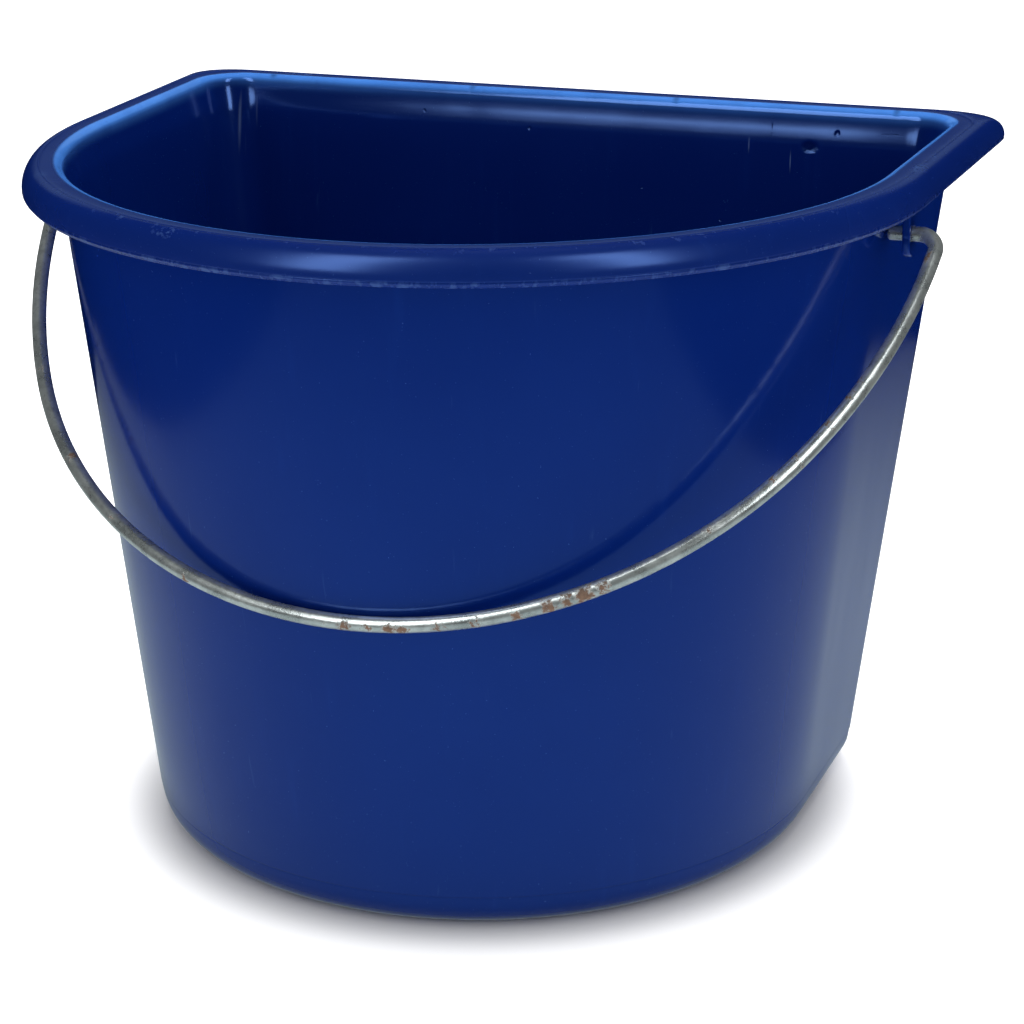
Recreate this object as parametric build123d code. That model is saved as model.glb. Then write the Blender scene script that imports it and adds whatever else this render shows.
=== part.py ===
from build123d import *
import math
import os

# Flat-back hanging feed bucket: a one-piece moulded tub and a round wire bail.
# Millimetres, +Z up. +Y is the flat back, -Y the round front. The origin lies on the floor plane
# at the centre of the rim's outline box.

# --- tub: driving dimensions -------------------------------------------------------------------
HEIGHT = 258.0            # floor plane to the top of the rim
WALL = 2.3                # thickness of the tub wall
FLOOR = 3.0               # thickness of the tub floor over its standing ring
RIM_RADIUS = 157.6        # inner edge of the rim's flat top, round front half
RIM_BACK = 104.3          # the same edge at the back, behind the centre of the front arc
RIM_CORNER = 20.0         # the same edge's two back corners
RIM_FLARE = 1.9           # degrees by which each side spreads towards the back, at the rim
INNER_ROUND = 3.6         # rounding from the rim's top down into the tub
TOP_WIDTH = 5.4           # flat top of the rim, inner edge to crease
OVERHANG = 12.0           # flat top's inner edge to the outside of the skirt, at its widest
SHOULDER_DROP = 9.0       # top of the rim down to that widest line
CURL = 0.8                # how far the bottom of the skirt turns back in
CURL_HEIGHT = 1.2         # height of that turned-in edge, under an upright band
SKIRT_DROP = 11.8         # top of the rim to the bottom of the skirt
SKIRT_CORNER = 4.0        # outer back corners of the skirt
SKIRT_WALL = 2.0          # thickness of the skirt and of the rim's top

# Outside of the tub wall at the floor plane
BASE_RADIUS = 128.8
BASE_ARC_SHIFT = -3.0     # the arc's centre moves forward towards the floor
BASE_BACK = 79.3
BASE_CORNER = 19.3
BASE_FLARE = 0.7

BASE_BAND = 13.3          # height of the rounded band under the wall's parting line
BASE_ROUND = 12.0         # rounding of the bottom edge
PARTING_STEP = 0.25       # the band is this much inside the wall above it
RING_WIDTH = 16.0         # standing ring round the recessed underside
RECESS = 1.2              # depth of that recess
RECESS_CORNER = 8.0       # the recess's two back corners

# --- lugs, ribs and bail -------------------------------------------------------------------------
WIRE_RADIUS = 2.75        # 5.5 mm wire
PIVOT_Z = 236.0           # hinge axis, parallel to X through both lugs
PIVOT_OFFSET = -3.1       # hinge axis in front of the front arc's centre
PIVOT_CLEARANCE = 0.09    # radial running clearance of the wire in the lug
LUG_INSIDE = 161.3        # inner face of each lug, from the middle plane
LUG_THICKNESS = 2.8
LUG_WIDTH = 12.0
LUG_DROP = 8.2            # hinge axis to the bottom of the lug
TIP_X = 155.3             # inner end of the wire
TIP_CHAMFER = 0.5
HOOP_HALF_WIDTH = 173.3   # hinge middle to the wire's centre line at the sides
HOOP_DEPTH = 183.5        # hinge axis to the wire's centre line at the bottom of the hoop
HOOP_SIDE_RADIUS = 220.0  # the hoop's sides are a little straighter than its bottom
LEG_LEAN = 4.5            # degrees by which the legs lean inwards below the bends
HOOP_BEND = 7.0           # bend radius beside each lug
HANG_ANGLE = 51.45        # degrees in front of straight down, where the hoop leans on the wall
RIB_X = (43.5, 133.0)     # ribs under the back rim, each side of the middle
RIB_THICKNESS = 2.0
RIB_HEIGHT = 9.0

# --- worked out ------------------------------------------------------------------------------------
SKIRT_RADIUS = RIM_RADIUS + OVERHANG
SKIRT_BACK = RIM_BACK + OVERHANG
ARC_Y = (SKIRT_RADIUS - SKIRT_BACK) / 2.0      # centre of the front arc at the rim
PIVOT_Y = ARC_Y + PIVOT_OFFSET
WALL_TOP = HEIGHT - INNER_ROUND                # the straight wall ends here
SKIRT_Z = HEIGHT - SKIRT_DROP


def mix(low, high, t):
    return low + (high - low) * t


def outline(z, radius, arc_y, flare, back, corner):
    """Closed D outline: round front, sides spreading by flare degrees, round corners, flat back.
    back is measured from the rim arc's centre; arc_y is the shift of this outline's own arc."""
    f = math.radians(flare)
    cos_f, sin_f = math.cos(f), math.sin(f)
    corner_y = back - corner
    corner_x = (radius - corner + (corner_y - arc_y) * sin_f) / cos_f
    mid = (math.pi / 2 - f) / 2

    def point(x, y):
        return (x, y + ARC_Y, z)

    side = (radius * cos_f, arc_y - radius * sin_f)
    bend = (corner_x + corner * cos_f, corner_y - corner * sin_f)
    middle = (corner_x + corner * math.cos(mid), corner_y + corner * math.sin(mid))
    flat = (corner_x, back)
    edges = [
        ThreePointArc(point(-side[0], side[1]), point(0, arc_y - radius), point(*side)),
        Line(point(*side), point(*bend)),
        ThreePointArc(point(*bend), point(*middle), point(*flat)),
        Line(point(*flat), point(-flat[0], flat[1])),
        ThreePointArc(point(-flat[0], flat[1]), point(-middle[0], middle[1]), point(-bend[0], bend[1])),
        Line(point(-bend[0], bend[1]), point(-side[0], side[1])),
    ]
    return Wire(edges)


def wall_outline(z, inset=0.0):
    """Outline of the tub wall's outside at height z, moved inwards by inset."""
    t = z / WALL_TOP
    top_inset = INNER_ROUND - WALL
    return outline(
        z,
        mix(BASE_RADIUS, RIM_RADIUS - top_inset, t) - inset,
        mix(BASE_ARC_SHIFT, 0.0, t),
        mix(BASE_FLARE, RIM_FLARE, t),
        mix(BASE_BACK, RIM_BACK - top_inset, t) - inset,
        mix(BASE_CORNER, RIM_CORNER - top_inset, t) - inset,
    )


def rim_outline(z, reach, corner):
    """Outline round the rim, reach outside the inner edge of its flat top."""
    return outline(z, RIM_RADIUS + reach, 0.0, RIM_FLARE, RIM_BACK + reach, corner)


def skin(wires):
    return Solid.make_loft(wires, ruled=True)


def skirt_sections(inset, steps=6):
    """Sections of the rim's outside, from the bottom of the skirt up to the crease."""
    widest = HEIGHT - SHOULDER_DROP
    sections = [rim_outline(SKIRT_Z, OVERHANG - CURL - inset, SKIRT_CORNER),
                rim_outline(SKIRT_Z + CURL_HEIGHT, OVERHANG - inset, SKIRT_CORNER)]
    for step in range(steps + 1):
        t = step / steps
        angle = math.radians(90 * t)
        reach = TOP_WIDTH + (OVERHANG - TOP_WIDTH) * math.cos(angle) - inset
        z = widest + (SHOULDER_DROP - inset) * math.sin(angle)
        corner = mix(SKIRT_CORNER, RIM_CORNER + TOP_WIDTH, t ** 1.5)
        sections.append(rim_outline(z, reach, corner))
    return sections


def make_wall():
    wall = skin([wall_outline(BASE_BAND), wall_outline(HEIGHT - SKIRT_WALL / 2)])
    band = skin([wall_outline(0.0, PARTING_STEP), wall_outline(BASE_BAND, PARTING_STEP)])
    band = fillet(band.edges().group_by(Axis.Z)[0], BASE_ROUND)
    return wall + band


def make_rim():
    """Solid rim with the channel between its skirt and the wall cut out from below."""
    return skin(skirt_sections(0.0)) - skin(skirt_sections(SKIRT_WALL))


def make_cavity():
    """The space inside the tub, with its rounded floor edge and its rounded mouth."""
    space = skin([wall_outline(FLOOR, WALL), wall_outline(WALL_TOP, WALL)])
    space = fillet(space.edges().group_by(Axis.Z)[0], BASE_ROUND - WALL)
    mouth = []
    for step in range(6):
        angle = math.radians(90 * step / 5)
        reach = -INNER_ROUND * math.cos(angle)
        z = WALL_TOP + INNER_ROUND * math.sin(angle)
        mouth.append(rim_outline(z, reach, RIM_CORNER + reach) if step else wall_outline(z, WALL))
    mouth.append(rim_outline(HEIGHT + 1.0, 0.0, RIM_CORNER))
    return space + skin(mouth)


def make_lug(side):
    """Hanging ear with a round bottom, bored for the wire. side is 1 for +X and -1 for -X."""
    round_z = PIVOT_Z - LUG_DROP + LUG_WIDTH / 2
    top_z = HEIGHT - SKIRT_WALL
    x = side * (LUG_INSIDE + LUG_THICKNESS / 2)
    plate = Pos(x, PIVOT_Y, (round_z + top_z) / 2) * Box(LUG_THICKNESS, LUG_WIDTH, top_z - round_z)
    nose = Pos(x, PIVOT_Y, round_z) * Rot(0, 90, 0) * Cylinder(LUG_WIDTH / 2, LUG_THICKNESS)
    bore_radius = WIRE_RADIUS + PIVOT_CLEARANCE
    bore = Pos(x, PIVOT_Y, PIVOT_Z) * Rot(0, 90, 0) * Cylinder(bore_radius, 4 * LUG_THICKNESS)
    return plate + nose - bore


def make_rib(x):
    """Rib between the back wall and the back skirt, under the rim's top."""
    top_z = HEIGHT - SKIRT_WALL
    t = (top_z - RIB_HEIGHT) / WALL_TOP
    wall_y = mix(BASE_BACK, RIM_BACK - INNER_ROUND + WALL, t) - WALL / 2
    skirt_y = RIM_BACK + OVERHANG - SKIRT_WALL / 2
    middle_y = ARC_Y + (wall_y + skirt_y) / 2
    return Pos(x, middle_y, top_z - RIB_HEIGHT / 2) * Box(RIB_THICKNESS, skirt_y - wall_y, RIB_HEIGHT)


def make_recess():
    """Shallow recess in the underside, which leaves the standing ring."""
    inset = PARTING_STEP + BASE_ROUND + RING_WIDTH

    def section(z):
        return outline(z, BASE_RADIUS - inset, BASE_ARC_SHIFT, BASE_FLARE, BASE_BACK - inset, RECESS_CORNER)

    return skin([section(-1.0), section(RECESS)])


def make_tub():
    tub = make_wall() + make_rim() - make_cavity()
    under_rim = skin(skirt_sections(SKIRT_WALL / 2))
    for x in RIB_X:
        tub += make_rib(x) & under_rim
        tub += make_rib(-x) & under_rim
    tub += make_lug(1)
    tub += make_lug(-1)
    return tub - make_recess()


def hoop_half():
    """Centre line of the bail's +X half in its own plane: x along the hinge, y away from it."""
    lean = math.radians(LEG_LEAN)
    bend_x = HOOP_HALF_WIDTH - HOOP_BEND
    side_x = bend_x + (HOOP_BEND - HOOP_SIDE_RADIUS) * math.cos(lean)
    side_y = HOOP_BEND + (HOOP_BEND - HOOP_SIDE_RADIUS) * math.sin(lean)
    spare = side_y + HOOP_SIDE_RADIUS - HOOP_DEPTH
    join = math.pi / 2 - 2 * math.atan2(spare, -side_x)
    bottom_radius = HOOP_SIDE_RADIUS + side_x / math.cos(join)
    tip = Line((TIP_X, 0), (bend_x, 0))
    bend = JernArc(tip @ 1, (1, 0), HOOP_BEND, 90 + LEG_LEAN)
    side = JernArc(bend @ 1, bend % 1, HOOP_SIDE_RADIUS, math.degrees(join) - LEG_LEAN)
    bottom = JernArc(side @ 1, side % 1, bottom_radius, 90 - math.degrees(join))
    return [tip, bend, side, bottom]


def make_bail():
    """Round wire: an end through each lug, a bend outside it, and a hoop that hangs in front."""
    angle = math.radians(HANG_ANGLE)
    away = Vector(0, -math.sin(angle), -math.cos(angle))
    hang = Plane(origin=(0, PIVOT_Y, PIVOT_Z), x_dir=(1, 0, 0), z_dir=Vector(1, 0, 0).cross(away))
    right = Wire([edge for line in hoop_half() for edge in line.edges()])
    path = Wire(right.edges() + right.mirror(Plane.YZ).edges())
    end = Plane(origin=(TIP_X, 0, 0), z_dir=(1, 0, 0)) * Circle(WIRE_RADIUS)
    wire = sweep(end, path=path)
    tips = wire.faces().filter_by(Plane.YZ).edges()
    return hang.location * chamfer(tips, TIP_CHAMFER)


def save(name, shape):
    shape.label = name
    export_step(shape, os.path.join("parts", name + ".step"))


os.makedirs("parts", exist_ok=True)
save("tub", make_tub())
save("bail", make_bail())
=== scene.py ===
import math

import bmesh
import bpy
from mathutils import Matrix, Vector


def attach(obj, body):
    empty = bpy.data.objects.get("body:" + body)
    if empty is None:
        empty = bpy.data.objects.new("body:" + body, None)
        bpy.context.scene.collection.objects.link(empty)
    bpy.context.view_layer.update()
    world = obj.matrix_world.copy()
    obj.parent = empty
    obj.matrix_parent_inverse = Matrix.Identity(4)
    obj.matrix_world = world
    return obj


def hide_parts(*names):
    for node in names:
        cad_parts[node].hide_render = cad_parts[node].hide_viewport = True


# The looks of a flat-back feed bucket: a moulded blue tub and a galvanised wire bail, built on the
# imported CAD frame. Metres, +Z up, +Y towards the flat back, -Y towards the round front.

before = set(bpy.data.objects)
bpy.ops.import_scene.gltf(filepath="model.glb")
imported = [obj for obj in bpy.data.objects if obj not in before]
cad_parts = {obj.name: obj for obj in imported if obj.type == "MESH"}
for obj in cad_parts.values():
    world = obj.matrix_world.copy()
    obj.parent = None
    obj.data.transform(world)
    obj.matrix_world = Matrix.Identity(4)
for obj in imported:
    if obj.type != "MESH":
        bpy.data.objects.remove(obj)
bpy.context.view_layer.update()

MM = 0.001

# --- the shape the CAD part has, in millimetres -----------------------------------------------------
HEIGHT = 258.0
WALL = 2.3
FLOOR = 3.0
RIM_RADIUS, RIM_BACK, RIM_CORNER, RIM_FLARE = 157.6, 104.3, 20.0, 1.9
INNER_ROUND = 3.6
TOP_WIDTH, OVERHANG, SHOULDER_DROP = 5.4, 12.0, 9.0
SHOULDER_FLATNESS = 0.12
INNER_BEAD, BEAD_Z, BEAD_LOW = 0.9, 243.0, 205.0
SKIRT_DROP, SKIRT_CORNER, SKIRT_WALL, CURL, CURL_HEIGHT = 11.8, 4.0, 2.0, 0.8, 1.2
BASE_RADIUS, BASE_ARC_SHIFT, BASE_BACK, BASE_CORNER, BASE_FLARE = 128.8, -3.0, 79.3, 19.3, 0.7
BASE_ROUND, PARTING_STEP = 12.0, 0.25
RING_WIDTH, RECESS, RECESS_CORNER = 16.0, 1.2, 8.0
WIRE_RADIUS, PIVOT_Z, PIVOT_OFFSET = 2.75, 236.0, -3.1
LUG_INSIDE, LUG_THICKNESS, LUG_WIDTH, LUG_DROP = 161.3, 2.8, 12.0, 8.2
PIVOT_CLEARANCE, BORE_CHAMFER = 0.09, 0.25
TIP_X, TIP_CHAMFER = 155.3, 0.5
HOOP_HALF_WIDTH, HOOP_DEPTH, HOOP_SIDE_RADIUS = 173.3, 183.5, 220.0
LEG_LEAN, HOOP_BEND, HANG_ANGLE = 4.5, 7.0, 51.45
RIB_X, RIB_THICKNESS, RIB_HEIGHT = (43.5, 133.0), 2.0, 9.0

ARC_Y = (RIM_RADIUS - RIM_BACK) / 2
PIVOT_Y = ARC_Y + PIVOT_OFFSET
FLOOR_MIDDLE_Y = ARC_Y - 22.0
WALL_TOP = HEIGHT - INNER_ROUND
SKIRT_Z = HEIGHT - SKIRT_DROP
WALL_SLOPE = math.atan((RIM_RADIUS - INNER_ROUND + WALL - BASE_RADIUS) / WALL_TOP)


def mix(low, high, t):
    return low + (high - low) * t


# --- mesh helpers -----------------------------------------------------------------------------------
def new_object(name, data):
    ob = bpy.data.objects.new(name, data)
    bpy.context.scene.collection.objects.link(ob)
    return ob


FRONT_STEPS, SIDE_STEPS, CORNER_STEPS, BACK_STEPS = 96, 24, 14, 48      # points round half a ring


def d_ring(z, radius, arc_y, flare, back, corner):
    """Points round the D outline at height z, always the same number, so that rings can be bridged."""
    f = math.radians(flare)
    cos_f, sin_f = math.cos(f), math.sin(f)
    corner_y = back - corner
    corner_x = (radius - corner + (corner_y - arc_y) * sin_f) / cos_f
    half = []
    for i in range(FRONT_STEPS + 1):                     # front, from the middle to the +X side
        a = mix(0.0, math.pi / 2 - f, i / FRONT_STEPS)
        half.append((radius * math.sin(a), arc_y - radius * math.cos(a)))
    side = half[-1]
    bend = (corner_x + corner * cos_f, corner_y - corner * sin_f)
    for i in range(1, SIDE_STEPS + 1):
        half.append((mix(side[0], bend[0], i / SIDE_STEPS), mix(side[1], bend[1], i / SIDE_STEPS)))
    for i in range(1, CORNER_STEPS + 1):
        a = mix(-f, math.pi / 2, i / CORNER_STEPS)
        half.append((corner_x + corner * math.cos(a), corner_y + corner * math.sin(a)))
    for i in range(1, BACK_STEPS + 1):
        half.append((mix(corner_x, 0.0, i / BACK_STEPS), back))
    ring = half + [(-x, y) for x, y in reversed(half[1:-1])]
    return [(x * MM, (y + ARC_Y) * MM, z * MM) for x, y in ring]


def wall_ring(z, inset=0.0):
    t = z / WALL_TOP
    top = INNER_ROUND - WALL
    return d_ring(z, mix(BASE_RADIUS, RIM_RADIUS - top, t) - inset, mix(BASE_ARC_SHIFT, 0.0, t),
                  mix(BASE_FLARE, RIM_FLARE, t), mix(BASE_BACK, RIM_BACK - top, t) - inset,
                  max(1.0, mix(BASE_CORNER, RIM_CORNER - top, t) - inset))


def rim_ring(z, reach, corner):
    return d_ring(z, RIM_RADIUS + reach, 0.0, RIM_FLARE, RIM_BACK + reach, corner)


def shrunk(ring, share):
    """The ring drawn in towards the middle of the floor."""
    cy = FLOOR_MIDDLE_Y * MM
    return [(x * share, cy + (y - cy) * share, z) for x, y, z in ring]


def skin_mesh(name, rings):
    """A mesh of quads between successive rings, with a fan over each end."""
    mesh = bpy.data.meshes.new(name)
    n = len(rings[0])
    verts = [p for ring in rings for p in ring]
    faces = []
    for k in range(len(rings) - 1):
        a, b = k * n, (k + 1) * n
        for i in range(n):
            j = (i + 1) % n
            faces.append((a + i, a + j, b + j, b + i))
    for end, ring in ((0, rings[0]), (1, rings[-1])):
        centre = len(verts)
        verts.append(tuple(sum(p[k] for p in ring) / n for k in range(3)))
        a = 0 if end == 0 else (len(rings) - 1) * n
        for i in range(n):
            j = (i + 1) % n
            faces.append((centre, a + j, a + i) if end == 0 else (centre, a + i, a + j))
    mesh.from_pydata(verts, [], faces)
    mesh.polygons.foreach_set("use_smooth", [True] * len(mesh.polygons))
    mesh.update()
    return new_object(name, mesh)


def join(name, parts):
    bm = bmesh.new()
    for ob in parts:
        bm.from_mesh(ob.data)
    mesh = bpy.data.meshes.new(name)
    bm.to_mesh(mesh)
    bm.free()
    for ob in parts:
        old = ob.data
        bpy.data.objects.remove(ob)
        bpy.data.meshes.remove(old)
    return new_object(name, mesh)


# --- the tub ----------------------------------------------------------------------------------------
def tub_rings():
    rings = []
    # underside, from the middle of the recess out to the standing ring
    inset = PARTING_STEP + BASE_ROUND + RING_WIDTH

    def under(z, grow):
        i = inset - grow
        return d_ring(z, BASE_RADIUS - i, BASE_ARC_SHIFT, BASE_FLARE, BASE_BACK - i, RECESS_CORNER + grow)

    flat = under(RECESS, -0.6)
    for share in (0.02, 0.1, 0.3, 0.5, 0.7, 0.85, 0.95):
        rings.append(shrunk(flat, share))
    rings.append(flat)
    for k in range(1, 5):
        a = math.radians(90 * k / 4)
        rings.append(under(RECESS - 0.5 * (1 - math.cos(a)), -0.6 + 0.5 * math.sin(a)))
    rings.append(under(0.35, -0.1))
    for k in range(1, 4):
        a = math.radians(90 * k / 3)
        rings.append(under(0.35 * (1 - math.sin(a)), -0.1 + 0.35 * (1 - math.cos(a))))
    # rounded bottom edge, tangent to the floor plane and to the leaning wall
    centre = BASE_ROUND * math.tan(WALL_SLOPE) - BASE_ROUND / math.cos(WALL_SLOPE)
    for k in range(19):
        a = mix(-math.pi / 2, -WALL_SLOPE, k / 18)
        r = centre + BASE_ROUND * math.cos(a)
        z = BASE_ROUND + BASE_ROUND * math.sin(a)
        rings.append(wall_ring(z, z * math.tan(WALL_SLOPE) - r + PARTING_STEP))
    # parting line
    rings.append(wall_ring(12.4, PARTING_STEP))
    rings.append(wall_ring(13.0, PARTING_STEP))
    rings.append(wall_ring(13.2, PARTING_STEP + 0.12))
    rings.append(wall_ring(13.45, PARTING_STEP + 0.12))
    rings.append(wall_ring(13.6, 0.06))
    rings.append(wall_ring(13.8, 0.0))
    for z in (14.3, 18, 30, 60, 100, 140, 180, 215, 238, 248, 252):
        rings.append(wall_ring(z))
    # channel under the rim
    top = HEIGHT - SKIRT_WALL
    for k in range(1, 6):
        a = math.radians(90 * k / 5)
        rings.append(rim_ring(top - 2.0 * (1 - math.sin(a)), -1.3 + 2.0 * (1 - math.cos(a)), RIM_CORNER))
    for reach, z, corner in reversed(shoulder(SKIRT_WALL, 12)):
        rings.append(rim_ring(z, reach, corner))
    rings.append(rim_ring(SKIRT_Z + CURL_HEIGHT, OVERHANG - SKIRT_WALL, SKIRT_CORNER - SKIRT_WALL))
    # rounded bottom edge of the skirt, which turns in a little, and a shallow line above it
    for k in range(11):
        a = math.radians(180 + 180 * k / 10)
        rings.append(rim_ring(SKIRT_Z + 0.8 + 0.8 * math.sin(a), OVERHANG - CURL - 1.0 + math.cos(a),
                              SKIRT_CORNER - 1.0 + math.cos(a)))
    for rise, back in ((1.2, 0.25), (1.6, 0.04), (1.9, 0.0), (2.1, 0.12), (2.3, 0.12), (2.5, 0.0)):
        rings.append(rim_ring(SKIRT_Z + rise, OVERHANG - back, SKIRT_CORNER))
    for reach, z, corner in shoulder(0.0, 26)[:-1]:
        rings.append(rim_ring(z, reach, corner))
    # crease, flat top and the rounding down into the tub
    for reach, drop in ((TOP_WIDTH + 0.3, 0.1), (TOP_WIDTH, 0.32), (TOP_WIDTH - 0.3, 0.12),
                        (4.4, 0.02), (3.4, 0.0), (2.0, 0.02), (0.8, 0.06)):
        rings.append(rim_ring(HEIGHT - drop, reach, RIM_CORNER + reach))
    for k in range(13):
        a = math.radians(90 * (1 - k / 12))
        reach = -INNER_ROUND * math.cos(a)
        rings.append(rim_ring(WALL_TOP - 0.1 + INNER_ROUND * math.sin(a), reach, RIM_CORNER + reach))
    # the wall is thickest a little below the rim
    for z in (252, 249, 246, 244, 243, 242, 240, 236, 230, 222,
              212, 205, 180, 150, 120, 80, 50, 30, 20, 16):
        above = (WALL_TOP - z) / (WALL_TOP - BEAD_Z)
        below = max(0.0, (z - BEAD_LOW) / (BEAD_Z - BEAD_LOW))
        t = above if z > BEAD_Z else below
        rings.append(wall_ring(z, WALL + INNER_BEAD * t * t * (3 - 2 * t)))
    # rounded inside floor edge
    round_in = BASE_ROUND - WALL
    centre = round_in * math.tan(WALL_SLOPE) - round_in / math.cos(WALL_SLOPE)
    for k in range(13):
        a = mix(-WALL_SLOPE, -math.pi / 2, k / 12)
        r = centre + round_in * math.cos(a)
        z = round_in + round_in * math.sin(a)
        rings.append(wall_ring(FLOOR + z, WALL + z * math.tan(WALL_SLOPE) - r))
    inner = rings[-1]
    for share in (0.95, 0.8, 0.6, 0.4, 0.2, 0.1, 0.03):
        rings.append(shrunk(inner, share))
    return rings


def shoulder(inset, steps):
    """(reach, height, corner radius) up the rim's convex outside."""
    rows = []
    for k in range(steps + 1):
        t = k / steps
        a = math.radians(90 * t)
        s = math.sin(a) ** 2                           # the same rise along a straight slope
        out = mix(math.cos(a), 1.0 - s, SHOULDER_FLATNESS)
        up = mix(math.sin(a), s, SHOULDER_FLATNESS)
        reach = TOP_WIDTH + (OVERHANG - TOP_WIDTH) * out - inset
        z = HEIGHT - SHOULDER_DROP + (SHOULDER_DROP - inset) * up
        rows.append((reach, z, max(2.0, mix(SKIRT_CORNER, RIM_CORNER + TOP_WIDTH, t ** 3) - inset)))
    return rows


def lug(side):
    """Hanging ear under the rim, with a round nose, soft edges and the hole that the wire turns in."""
    n = 64
    bore = WIRE_RADIUS + PIVOT_CLEARANCE
    half, nose_z = LUG_WIDTH / 2, PIVOT_Z - LUG_DROP + LUG_WIDTH / 2
    top = HEIGHT - SKIRT_WALL + 0.4

    def outer(i, inset):
        a = 2 * math.pi * i / n
        y, z = math.cos(a), math.sin(a)
        if z > 0:
            # the upright sides and the top
            reach = min((half - inset) / max(abs(y), 1e-9), (top - PIVOT_Z) / z)
            return (reach * y, PIVOT_Z + reach * z)
        # distance from the hinge to the round nose below it
        c = nose_z - PIVOT_Z
        r = half - inset
        b = z * c
        if r * r - c * c + b * b < 0:
            return (r * y, nose_z + r * z)
        t = b + math.sqrt(r * r - c * c + b * b)
        return (t * y, PIVOT_Z + t * z)

    x0, x1 = LUG_INSIDE, LUG_INSIDE + LUG_THICKNESS
    rows = []
    soft = 0.5

    def circle(r):
        angles = [2 * math.pi * i / n for i in range(n)]
        return [(r * math.cos(a), PIVOT_Z + r * math.sin(a)) for a in angles]

    hole = circle(bore)
    wide = circle(bore + BORE_CHAMFER)
    rows.append((x0 + BORE_CHAMFER, hole))
    rows.append((x0, wide))
    rows.append((x0, [outer(i, soft) for i in range(n)]))
    rows.append((x0 + 0.15, [outer(i, 0.15) for i in range(n)]))
    rows.append((x0 + soft, [outer(i, 0.0) for i in range(n)]))
    rows.append((x1 - soft, [outer(i, 0.0) for i in range(n)]))
    rows.append((x1 - 0.15, [outer(i, 0.15) for i in range(n)]))
    rows.append((x1, [outer(i, soft) for i in range(n)]))
    rows.append((x1, wide))
    rows.append((x1 - BORE_CHAMFER, hole))
    verts, faces = [], []
    for x, pts in rows:
        verts += [(side * x * MM, (PIVOT_Y + y) * MM, z * MM) for y, z in pts]
    for k in range(len(rows)):
        a, b = k * n, ((k + 1) % len(rows)) * n
        for i in range(n):
            j = (i + 1) % n
            quad = (a + i, b + i, b + j, a + j)
            faces.append(quad if side > 0 else quad[::-1])
    mesh = bpy.data.meshes.new("lug")
    mesh.from_pydata(verts, [], faces)
    mesh.polygons.foreach_set("use_smooth", [True] * len(mesh.polygons))
    return new_object("lug", mesh)


def rib(x):
    """Rib between the back wall and the back skirt, cut to the inside of the rim."""
    low = HEIGHT - SKIRT_WALL - RIB_HEIGHT
    edge = [(-2.4, low), (OVERHANG - SKIRT_WALL / 2, low)]
    edge += [(reach, z) for reach, z, _ in shoulder(SKIRT_WALL / 2, 10)]
    edge += [(-2.4, HEIGHT - SKIRT_WALL + 0.4)]
    n = len(edge)
    verts = [((x + side * RIB_THICKNESS / 2) * MM, (ARC_Y + RIM_BACK + reach) * MM, z * MM)
             for side in (-1, 1) for reach, z in edge]
    faces = [tuple(range(n - 1, -1, -1)), tuple(range(n, 2 * n))]
    faces += [(i, (i + 1) % n, n + (i + 1) % n, n + i) for i in range(n)]
    mesh = bpy.data.meshes.new("rib")
    mesh.from_pydata(verts, [], faces)
    return new_object("rib", mesh)


# --- the bail ---------------------------------------------------------------------------------------
def hoop_line(step=1.2):
    """Centre line of the bail in its own plane, from the -X tip to the +X tip, as (x, away)."""
    lean = math.radians(LEG_LEAN)
    bend_x = HOOP_HALF_WIDTH - HOOP_BEND
    side_x = bend_x + (HOOP_BEND - HOOP_SIDE_RADIUS) * math.cos(lean)
    side_y = HOOP_BEND + (HOOP_BEND - HOOP_SIDE_RADIUS) * math.sin(lean)
    spare = side_y + HOOP_SIDE_RADIUS - HOOP_DEPTH
    meet = math.pi / 2 - 2 * math.atan2(spare, -side_x)
    bottom_radius = HOOP_SIDE_RADIUS + side_x / math.cos(meet)
    half = [(TIP_X, 0.0), (TIP_X + TIP_CHAMFER, 0.0)]
    x = TIP_X + 1.5
    while x < bend_x - 0.4:
        half.append((x, 0.0))
        x += 1.0
    for k in range(25):
        a = mix(-math.pi / 2, lean, k / 24)
        half.append((bend_x + HOOP_BEND * math.cos(a), HOOP_BEND + HOOP_BEND * math.sin(a)))
    n = int(HOOP_SIDE_RADIUS * (meet - lean) / step)
    for k in range(1, n + 1):
        a = mix(lean, meet, k / n)
        half.append((side_x + HOOP_SIDE_RADIUS * math.cos(a), side_y + HOOP_SIDE_RADIUS * math.sin(a)))
    n = int(bottom_radius * (math.pi / 2 - meet) / step)
    for k in range(1, n + 1):
        a = mix(meet, math.pi / 2, k / n)
        half.append((bottom_radius * math.cos(a), HOOP_DEPTH - bottom_radius + bottom_radius * math.sin(a)))
    return [(-x, y) for x, y in half[:-1]] + list(reversed(half))


def hoop_point(x, away):
    a = math.radians(HANG_ANGLE)
    return Vector((x * MM, (PIVOT_Y - away * math.sin(a)) * MM, (PIVOT_Z - away * math.cos(a)) * MM))


def make_bail():
    line = [hoop_point(x, y) for x, y in hoop_line()]
    a = math.radians(HANG_ANGLE)
    across = Vector((0, math.cos(a), -math.sin(a)))            # normal of the hoop's plane
    n = 28
    rings = []
    last = len(line) - 1
    for i, p in enumerate(line):
        t = (line[min(i + 1, last)] - line[max(i - 1, 0)]).normalized()
        side = across.cross(t).normalized()
        r = WIRE_RADIUS * MM
        if i in (0, last):
            r -= TIP_CHAMFER * MM
        angles = [2 * math.pi * k / n for k in range(n)]
        rings.append([tuple(p + (across * math.cos(b) + side * math.sin(b)) * r) for b in angles])
    return skin_mesh("bail_wire", rings)


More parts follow.
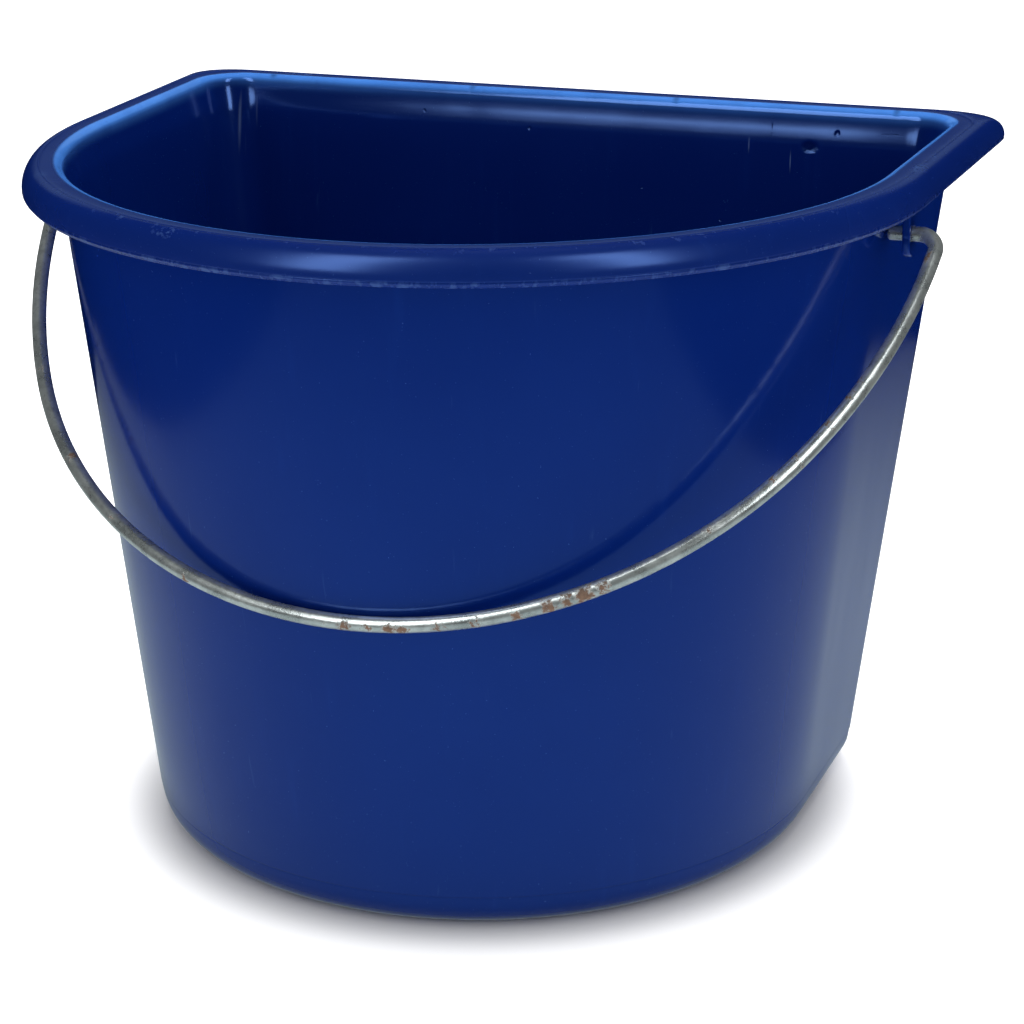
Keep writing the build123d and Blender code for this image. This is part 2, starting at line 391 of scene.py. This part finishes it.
# --- materials --------------------------------------------------------------------------------------
class Nodes:
    """Small helper to write node trees as expressions."""

    def __init__(self, name):
        self.material = bpy.data.materials.new(name)
        self.material.use_nodes = True
        self.tree = self.material.node_tree
        self.tree.nodes.clear()
        self.coords = self.add("ShaderNodeTexCoord").outputs["Object"]
        split = self.add("ShaderNodeSeparateXYZ")
        self.link(self.coords, split.inputs[0])
        self.x, self.y, self.z = (split.outputs[k] for k in range(3))

    def add(self, kind, **values):
        node = self.tree.nodes.new(kind)
        for key, value in values.items():
            setattr(node, key, value)
        return node

    def link(self, a, b):
        self.tree.links.new(a, b)

    def put(self, socket, value):
        if isinstance(value, (int, float, tuple, list)):
            socket.default_value = value
        else:
            self.link(value, socket)

    def math(self, operation, a, b=0.0, c=0.0):
        node = self.add("ShaderNodeMath", operation=operation)
        for socket, value in zip(node.inputs, (a, b, c)):
            self.put(socket, value)
        return node.outputs[0]

    def ramp(self, value, low, high, to_low=0.0, to_high=1.0):
        node = self.add("ShaderNodeMapRange", interpolation_type="SMOOTHSTEP")
        for socket, v in zip(node.inputs[:5], (value, low, high, to_low, to_high)):
            self.put(socket, v)
        return node.outputs[0]

    def noise(self, scale, detail=4.0, rough=0.55, stretch=(1, 1, 1), shift=(0, 0, 0), distortion=0.0):
        mapping = self.add("ShaderNodeMapping")
        self.link(self.coords, mapping.inputs["Vector"])
        mapping.inputs["Scale"].default_value = stretch
        mapping.inputs["Location"].default_value = shift
        node = self.add("ShaderNodeTexNoise")
        self.link(mapping.outputs[0], node.inputs["Vector"])
        node.inputs["Scale"].default_value = scale
        node.inputs["Detail"].default_value = detail
        node.inputs["Roughness"].default_value = rough
        node.inputs["Distortion"].default_value = distortion
        return node.outputs["Fac"]

    def distance(self, point, stretch=(1, 1, 1)):
        """Distance in metres from a point, in a space stretched along each axis."""
        node = self.add("ShaderNodeVectorMath", operation="SUBTRACT")
        self.link(self.coords, node.inputs[0])
        node.inputs[1].default_value = [v * MM for v in point]
        scale = self.add("ShaderNodeVectorMath", operation="MULTIPLY")
        self.link(node.outputs[0], scale.inputs[0])
        scale.inputs[1].default_value = stretch
        length = self.add("ShaderNodeVectorMath", operation="LENGTH")
        self.link(scale.outputs[0], length.inputs[0])
        return length.outputs["Value"]

    def spot(self, point, radius, soft=0.5, stretch=(1, 1, 1), wobble=None):
        """1 at the point, 0 beyond radius (mm). wobble is a value near 0 that makes the edge ragged."""
        d = self.distance(point, stretch)
        if wobble is not None:
            d = self.math("ADD", d, wobble)
        return self.ramp(d, radius * MM, radius * soft * MM, 0.0, 1.0)

    def colour(self, factor, a, b):
        node = self.add("ShaderNodeMix", data_type="RGBA")
        self.put(node.inputs[0], factor)
        self.put(node.inputs[6], a)
        self.put(node.inputs[7], b)
        return node.outputs[2]

    def most(self, values):
        found = values[0]
        for v in values[1:]:
            found = self.math("MAXIMUM", found, v)
        return found


BLUE = (0.0007, 0.0120, 0.128, 1.0)
PAINTED_GLOW = (0.060, 0.230, 0.720, 1.0)
SCUFF = (0.050, 0.110, 0.300, 1.0)
CHALK = (0.200, 0.290, 0.480, 1.0)
DARK_MARK_AND_SHADE = (0.0002, 0.0022, 0.020, 1.0)
CLOUD = (0.0013, 0.0200, 0.180, 1.0)
FLOW = (0.0045, 0.0300, 0.215, 1.0)


def rim_reach(m):
    """How far outside the inner edge of the rim's flat top a point lies, in millimetres."""
    px, py = m.math("MULTIPLY", m.x, 1000.0), m.math("MULTIPLY_ADD", m.y, 1000.0, -ARC_Y)
    ahead_y, behind_y = m.math("MINIMUM", py, 0.0), m.math("MAXIMUM", py, 0.0)
    radial = m.math("SQRT", m.math("ADD", m.math("MULTIPLY", px, px), m.math("MULTIPLY", ahead_y, ahead_y)))
    spread = math.sin(math.radians(RIM_FLARE))
    side = m.math("SUBTRACT", radial, m.math("MULTIPLY_ADD", behind_y, spread, RIM_RADIUS))
    back = m.math("SUBTRACT", py, RIM_BACK)
    a, b = m.math("ADD", side, RIM_CORNER), m.math("ADD", back, RIM_CORNER)
    pa, pb = m.math("MAXIMUM", a, 0.0), m.math("MAXIMUM", b, 0.0)
    far = m.math("SQRT", m.math("ADD", m.math("MULTIPLY", pa, pa), m.math("MULTIPLY", pb, pb)))
    near = m.math("MINIMUM", m.math("MAXIMUM", a, b), 0.0)
    return m.math("SUBTRACT", m.math("ADD", far, near), RIM_CORNER)


def between(m, value, low, rise, fall, high):
    return m.math("MULTIPLY", m.ramp(value, low, rise), m.ramp(value, high, fall))


# (x, y, z), radius, stretch along each axis: marks on the inside of the back wall; the round ones are
# dents, the thin ones dark scratches
DENTS = [((99.7, 128.0, 242.6), 3.6, (0.8, 0.2, 1.2)), ((110.3, 128.6, 248.4), 1.5, (1, 0.2, 1)),
         ((-17.4, 128.2, 243.1), 1.1, (1, 0.2, 1)), ((-63.4, 128.6, 247.4), 1.0, (1, 0.2, 1)),
         ((84.0, 128.6, 248.0), 0.5, (1, 0.2, 0.10)), ((131.0, 128.8, 249.0), 0.7, (0.12, 0.2, 1)),
         ((138.0, 128.8, 247.5), 0.45, (1, 0.2, 0.08)), ((70.0, 128.4, 247.0), 0.4, (0.15, 0.2, 1)),
         ((58.0, 128.4, 246.0), 0.4, (1, 0.2, 0.12)), ((31.0, 127.0, 222.0), 0.9, (1, 0.2, 1)),
         ((64.0, 126.0, 211.0), 0.8, (1, 0.2, 1))]
INNER_STREAKS = [((-146.3, 118.0, 244.0), 1.1, (1, 0.12, 0.05)),
                 ((-139.4, 120.0, 246.0), 0.9, (1, 0.12, 0.06)),
                 ((-144.0, 118.0, 232.0), 0.7, (1, 0.12, 0.05)),
                 ((74.9, 128.0, 241.6), 0.5, (1, 0.1, 0.1)),
                 ((92.0, 127.0, 236.0), 0.45, (1, 0.1, 0.07))]
# sink marks over the ribs: a dip in the bump, darkened with painted shade
SINKS = [((s * x, ARC_Y + RIM_BACK - 1.2, 257.4), 2.2, (1, 0.7, 0.7)) for x in RIB_X for s in (1, -1)]
RIM_SCUFFS = [((163.7, 32.1, 258.0), 3.2, (1, 0.4, 1)), ((-131.4, -70.1, 258.0), 3.0, (0.6, 0.6, 1)),
              ((-122.0, 135.0, 257.8), 3.6, (0.3, 1, 1)), ((-86.0, -113.0, 254.0), 2.2, (0.5, 0.9, 1)),
              ((-52.0, -132.0, 257.0), 2.6, (0.3, 0.8, 1)), ((150.0, -40.0, 255.0), 2.6, (1, 0.5, 1))]


def plastic():
    m = Nodes("blue_polypropylene")
    shader = m.add("ShaderNodeBsdfPrincipled")
    out = m.add("ShaderNodeOutputMaterial")
    m.link(shader.outputs[0], out.inputs[0])
    shader.inputs["IOR"].default_value = 1.70
    shader.inputs["Specular Tint"].default_value = (0.22, 0.42, 1.0, 1.0)

    reach = rim_reach(m)
    fine = m.noise(700, 3.0, 0.6)
    broad = m.noise(11, 3.0, 0.55)
    ragged = m.math("MULTIPLY", m.math("SUBTRACT", m.noise(380, 4.0, 0.7), 0.5), 0.0045)
    upright = m.noise(150, 3.0, 0.6, stretch=(1, 1, 0.045))
    scratchy = m.noise(420, 2.0, 0.5, stretch=(1, 1, 0.02), distortion=0.4)
    round_rim = m.noise(260, 4.0, 0.65, stretch=(1, 1, 0.4))

    # painted glow: a lighter blue on the thin rounding down into the tub stands in for the light that
    # passes through it
    edge = m.math("MULTIPLY", between(m, reach, -4.4, -2.6, -0.9, 0.6), m.ramp(m.z, 0.2500, 0.2556))
    edge = m.math("MULTIPLY", edge, m.ramp(m.noise(60, 3.0, 0.6), 0.1, 0.7, 0.72, 1.0))
    base = m.colour(edge, BLUE, PAINTED_GLOW)

    # slow unevenness of the pigment, and fine drawn-out flow lines down the wall
    base = m.colour(m.ramp(broad, 0.35, 0.75, 0.0, 0.22), base, CLOUD)
    base = m.colour(m.ramp(upright, 0.58, 0.80, 0.0, 0.16), base, FLOW)
    base = m.colour(m.ramp(scratchy, 0.72, 0.82, 0.0, 0.18), base, SCUFF)

    # wear: crest of the rim, bottom edge of the skirt, and the ring that it stands on
    crest = m.math("MULTIPLY", between(m, reach, 4.6, 5.4, 6.4, 8.8), m.ramp(m.z, 0.2490, 0.2560))
    crest = m.math("MULTIPLY", crest, m.ramp(round_rim, 0.58, 0.72, 0.0, 0.45))
    skirt = m.math("MULTIPLY", between(m, m.z, 0.2460, 0.2464, 0.2474, 0.2490), m.ramp(reach, 10.4, 10.8))
    skirt = m.math("MULTIPLY", skirt, m.ramp(round_rim, 0.50, 0.66, 0.0, 0.45))
    foot = m.ramp(m.noise(120, 5.0, 0.7), 0.40, 0.64, 0.10, 0.85)
    foot = m.math("MULTIPLY", m.ramp(m.z, 0.0026, 0.0004), foot)
    dust = m.ramp(m.noise(1500, 1.0, 0.5), 0.76, 0.80, 0.0, 0.55)
    chips = m.most([m.spot(p, r, 0.25, k, ragged) for p, r, k in RIM_SCUFFS])
    chips = m.math("MULTIPLY", chips, m.ramp(fine, 0.46, 0.66, 0.0, 0.6))
    streaks = m.most([m.spot(p, r, 0.2, k) for p, r, k in INNER_STREAKS])
    dents = m.most([m.spot(p, r, 0.3, k, m.math("MULTIPLY", ragged, 0.3)) for p, r, k in DENTS])
    sinks = m.most([m.spot(p, r, 0.1, k) for p, r, k in SINKS])
    worn = m.most([crest, skirt, dust, chips])
    base = m.colour(worn, base, SCUFF)
    base = m.colour(m.math("MULTIPLY", m.most([streaks, foot]), 0.5), base, CHALK)
    # painted shade darkens the dents and sink marks; on the thin marks it is the dark colour of scratches
    base = m.colour(m.math("MULTIPLY", m.math("MAXIMUM", dents, sinks), 0.45), base, DARK_MARK_AND_SHADE)
    m.link(base, shader.inputs["Base Color"])

    rough = m.math("MULTIPLY_ADD", broad, 0.08, 0.09)
    handled = m.math("MULTIPLY", m.ramp(m.z, 0.2440, 0.2470), m.ramp(reach, -1.0, 1.0))
    rough = m.math("MULTIPLY_ADD", handled, 0.14, rough)
    rough = m.math("MULTIPLY_ADD", m.most([worn, foot, streaks]), 0.35, rough)
    m.link(rough, shader.inputs["Roughness"])

    height = m.math("MULTIPLY", m.noise(16, 2.0, 0.45, stretch=(1, 1, 0.4)), 3.0)
    height = m.math("MULTIPLY_ADD", m.noise(90, 2.0, 0.5), 0.05, height)
    height = m.math("SUBTRACT", height, m.math("MULTIPLY", m.math("MAXIMUM", dents, sinks), 0.9))
    bump = m.add("ShaderNodeBump")
    bump.inputs["Strength"].default_value = 0.5
    bump.inputs["Distance"].default_value = 0.0005
    m.link(height, bump.inputs["Height"])
    m.link(bump.outputs[0], shader.inputs["Normal"])
    return m.material


# distance along the hinge, distance from the hinge and radius of each rust spot, in the hoop's plane
RUST = [(-120.7, 128.9, 3.2), (4.4, 183.5, 2.6), (12.6, 183.0, 2.2), (20.6, 182.6, 3.4),
        (25.0, 182.2, 3.2), (37.6, 179.9, 2.4), (50.3, 176.3, 2.4), (63.7, 171.2, 3.0),
        (73.9, 166.2, 4.2), (79.0, 163.2, 3.6), (84.5, 160.3, 4.6), (90.3, 156.3, 3.4),
        (120.9, 129.5, 2.8), (138.5, 107.5, 2.6), (144.3, 98.4, 2.8), (151.3, 83.5, 2.8),
        (156.8, 71.0, 2.4), (159.1, 65.0, 2.6), (171.2, 9.5, 3.2), (-171.0, 11.0, 2.4),
        (-60.0, 172.5, 2.2), (-95.0, 152.0, 2.6), (-148.0, 92.0, 2.2)]


def galvanised():
    m = Nodes("galvanised_wire")
    shader = m.add("ShaderNodeBsdfPrincipled")
    out = m.add("ShaderNodeOutputMaterial")
    m.link(shader.outputs[0], out.inputs[0])
    grain = m.noise(900, 3.0, 0.6)
    cloud = m.noise(120, 4.0, 0.65)
    ragged = m.math("MULTIPLY_ADD", m.noise(520, 4.0, 0.75), 0.0110, -0.0050)
    base = m.colour(m.ramp(cloud, 0.30, 0.72), (0.370, 0.415, 0.415, 1.0), (0.62, 0.68, 0.67, 1.0))
    base = m.colour(m.ramp(grain, 0.55, 0.75, 0.0, 0.5), base, (0.16, 0.17, 0.18, 1.0))
    spots = []
    for x, away, radius in RUST:
        centre = hoop_point(x, away) / MM + Vector((0.0, -2.3, -0.6))
        spots.append(m.spot(centre, radius, 0.45, (1, 1, 1), ragged))
    rust = m.math("MAXIMUM", m.most(spots), m.ramp(m.noise(240, 5.0, 0.75), 0.665, 0.72, 0.0, 0.7))
    tone = m.colour(m.noise(800, 2.0, 0.5), (0.055, 0.026, 0.016, 1.0), (0.260, 0.150, 0.090, 1.0))
    m.link(m.colour(rust, base, tone), shader.inputs["Base Color"])
    m.link(m.math("MULTIPLY_ADD", rust, -0.76, 0.76), shader.inputs["Metallic"])
    rough = m.math("MULTIPLY_ADD", cloud, 0.18, 0.20)
    m.link(m.math("MULTIPLY_ADD", rust, 0.4, rough), shader.inputs["Roughness"])
    bump = m.add("ShaderNodeBump")
    bump.inputs["Strength"].default_value = 0.5
    bump.inputs["Distance"].default_value = 0.0002
    m.link(m.math("MULTIPLY_ADD", rust, 0.8, m.math("MULTIPLY", grain, 0.5)), bump.inputs["Height"])
    m.link(bump.outputs[0], shader.inputs["Normal"])
    return m.material


# --- the object -------------------------------------------------------------------------------------
tub = join("tub_moulding", [skin_mesh("tub_skin", tub_rings()), lug(1), lug(-1)]
           + [rib(s * x) for x in RIB_X for s in (1, -1)])
tub.data.materials.append(plastic())
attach(tub, "tub")
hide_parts("tub")

bail = make_bail()
bail.data.materials.append(galvanised())
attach(bail, "bail")
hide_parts("bail")

# --- stage ------------------------------------------------------------------------------------------
CAMERA_AZIMUTH = math.radians(20.5675)
TABLE = (0.33, 0.39, 0.40)
right = Vector((math.cos(CAMERA_AZIMUTH), math.sin(CAMERA_AZIMUTH), 0))
ahead = Vector((-math.sin(CAMERA_AZIMUTH), math.cos(CAMERA_AZIMUTH), 0))


def sheet(name, x0, x1, y0, y1, z, shade):
    """Flat rectangle, x along the camera's right and y away from it."""
    mesh = bpy.data.meshes.new(name)
    pts = [right * x + ahead * y + Vector((0, 0, z)) for x, y in ((x0, y0), (x1, y0), (x1, y1), (x0, y1))]
    mesh.from_pydata([tuple(p) for p in pts], [], [(0, 1, 2, 3)])
    ob = new_object(name, mesh)
    material = bpy.data.materials.new(name)
    material.use_nodes = True
    bsdf = material.node_tree.nodes["Principled BSDF"]
    bsdf.inputs["Base Color"].default_value = (*shade, 1)
    bsdf.inputs["Roughness"].default_value = 1.0
    bsdf.inputs["Specular IOR Level"].default_value = 0.0
    mesh.materials.append(material)
    return ob


def fade_from(ob, centre, near, far, at_near, at_far):
    """A value in the sheet's material that changes with the distance from centre, in metres."""
    tree = ob.active_material.node_tree
    place = tree.nodes.new("ShaderNodeNewGeometry")
    away = tree.nodes.new("ShaderNodeVectorMath")
    away.operation = "DISTANCE"
    away.inputs[1].default_value = centre
    fade = tree.nodes.new("ShaderNodeMapRange")
    fade.interpolation_type = "SMOOTHSTEP"
    for socket, value in zip(fade.inputs[1:5], (near, far, at_near, at_far)):
        socket.default_value = value
    tree.links.new(place.outputs["Position"], away.inputs[0])
    tree.links.new(away.outputs["Value"], fade.inputs[0])
    return tree, fade.outputs[0]


# painted light: the floor glows more away from the bucket, so it is overexposed there and keeps its soft
# shadow only close to it
floor = sheet("floor", -4, 4, -3, 6, 0.0, (0.93, 0.93, 0.93))
floor.visible_glossy = False
front_arc = (0.0, (ARC_Y + BASE_ARC_SHIFT) * MM, 0.0)
tree, fade = fade_from(floor, front_arc, 0.126, 0.152, 0.0, 0.62)
floor_shader = tree.nodes["Principled BSDF"]
floor_shader.inputs["Emission Color"].default_value = (1, 1, 1, 1)
tree.links.new(fade, floor_shader.inputs["Emission Strength"])

# the pale table that the bucket's gloss reflects; its colour darkens from the middle to the edges, painted
# falloff of the light on it
table = sheet("table", -0.50, 0.455, -0.75, 0.50, -0.0004, TABLE)
tree, fade = fade_from(table, (0.0, 0.0, 0.0), 0.25, 0.70, 1.0, 0.25)
# painted shade: the table's colour fades towards black away from its middle
falloff_shade = tree.nodes.new("ShaderNodeMix")
falloff_shade.data_type = "RGBA"
falloff_shade.inputs[6].default_value = (0, 0, 0, 1)
falloff_shade.inputs[7].default_value = (*TABLE, 1)
tree.links.new(fade, falloff_shade.inputs[0])
tree.links.new(falloff_shade.outputs[2], tree.nodes["Principled BSDF"].inputs["Base Color"])
table.visible_camera = False
table.visible_diffuse = False
table.visible_shadow = False

# white surroundings, seen only by the camera, beyond the edge of the floor
bm = bmesh.new()
bmesh.ops.create_icosphere(bm, subdivisions=3, radius=12.0)
mesh = bpy.data.meshes.new("surroundings")
bm.to_mesh(mesh)
bm.free()
surroundings = new_object("surroundings", mesh)
glow = bpy.data.materials.new("surroundings")
glow.use_nodes = True
glow_shader = glow.node_tree.nodes["Principled BSDF"]
glow_shader.inputs["Base Color"].default_value = (0, 0, 0, 1)
glow_shader.inputs["Emission Color"].default_value = (1, 1, 1, 1)
glow_shader.inputs["Emission Strength"].default_value = 1.05
mesh.materials.append(glow)
surroundings.visible_diffuse = False
surroundings.visible_glossy = False
surroundings.visible_transmission = False
surroundings.visible_shadow = False


def lamp(name, azimuth, elevation, distance, width, height, power,
         glossy=True, diffuse=True, colour=(1, 1, 1)):
    """Soft box aimed at the bucket. azimuth is from the camera, positive to its right."""
    data = bpy.data.lights.new(name, "AREA")
    data.shape = "RECTANGLE"
    data.size, data.size_y = width, height
    data.energy = power
    data.color = colour
    ob = new_object(name, data)
    a, e = CAMERA_AZIMUTH + math.radians(azimuth), math.radians(elevation)
    back = Vector((math.sin(a) * math.cos(e), -math.cos(a) * math.cos(e), math.sin(e)))
    ob.location = Vector((0, 0, 0.14)) + back * distance
    ob.rotation_euler = back.to_track_quat("Z", "Y").to_euler()
    ob.visible_glossy = glossy
    ob.visible_diffuse = diffuse
    ob.visible_camera = False
    return ob


lamp("overhead", 175, 74, 1.7, 1.3, 1.3, 24, glossy=False)
lamp("left_box", -38, 38, 1.5, 0.42, 1.35, 12, diffuse=False)
lamp("right_box", 37, 37, 1.5, 0.30, 1.25, 9, diffuse=False)
lamp("back", 180, 26, 2.0, 2.6, 0.6, 1.5, diffuse=False, colour=(0.62, 0.88, 1.0))

world = bpy.data.worlds.new("studio")
bpy.context.scene.world = world
world.use_nodes = True
world.node_tree.nodes["Background"].inputs["Color"].default_value = (1, 1, 1, 1)
world.node_tree.nodes["Background"].inputs["Strength"].default_value = 0.72
world.cycles_visibility.glossy = False

camera_data = bpy.data.cameras.new("camera")
camera_data.lens = 99.40
camera_data.sensor_width = 36.0
camera_data.clip_start = 0.05
camera_data.clip_end = 50.0
camera = new_object("camera", camera_data)
cam_right = Vector((0.937604, 0.347513, -0.011533))
cam_up = Vector((-0.104458, 0.313160, 0.943938))
cam_back = Vector((0.331642, -0.883836, 0.329921))
rotation = Matrix((cam_right, cam_up, cam_back)).transposed().to_4x4()
camera.matrix_world = Matrix.Translation(Vector((0.3730, -0.9407, 0.4747))) @ rotation
bpy.context.scene.camera = camera
bpy.context.scene.view_settings.view_transform = "Standard"
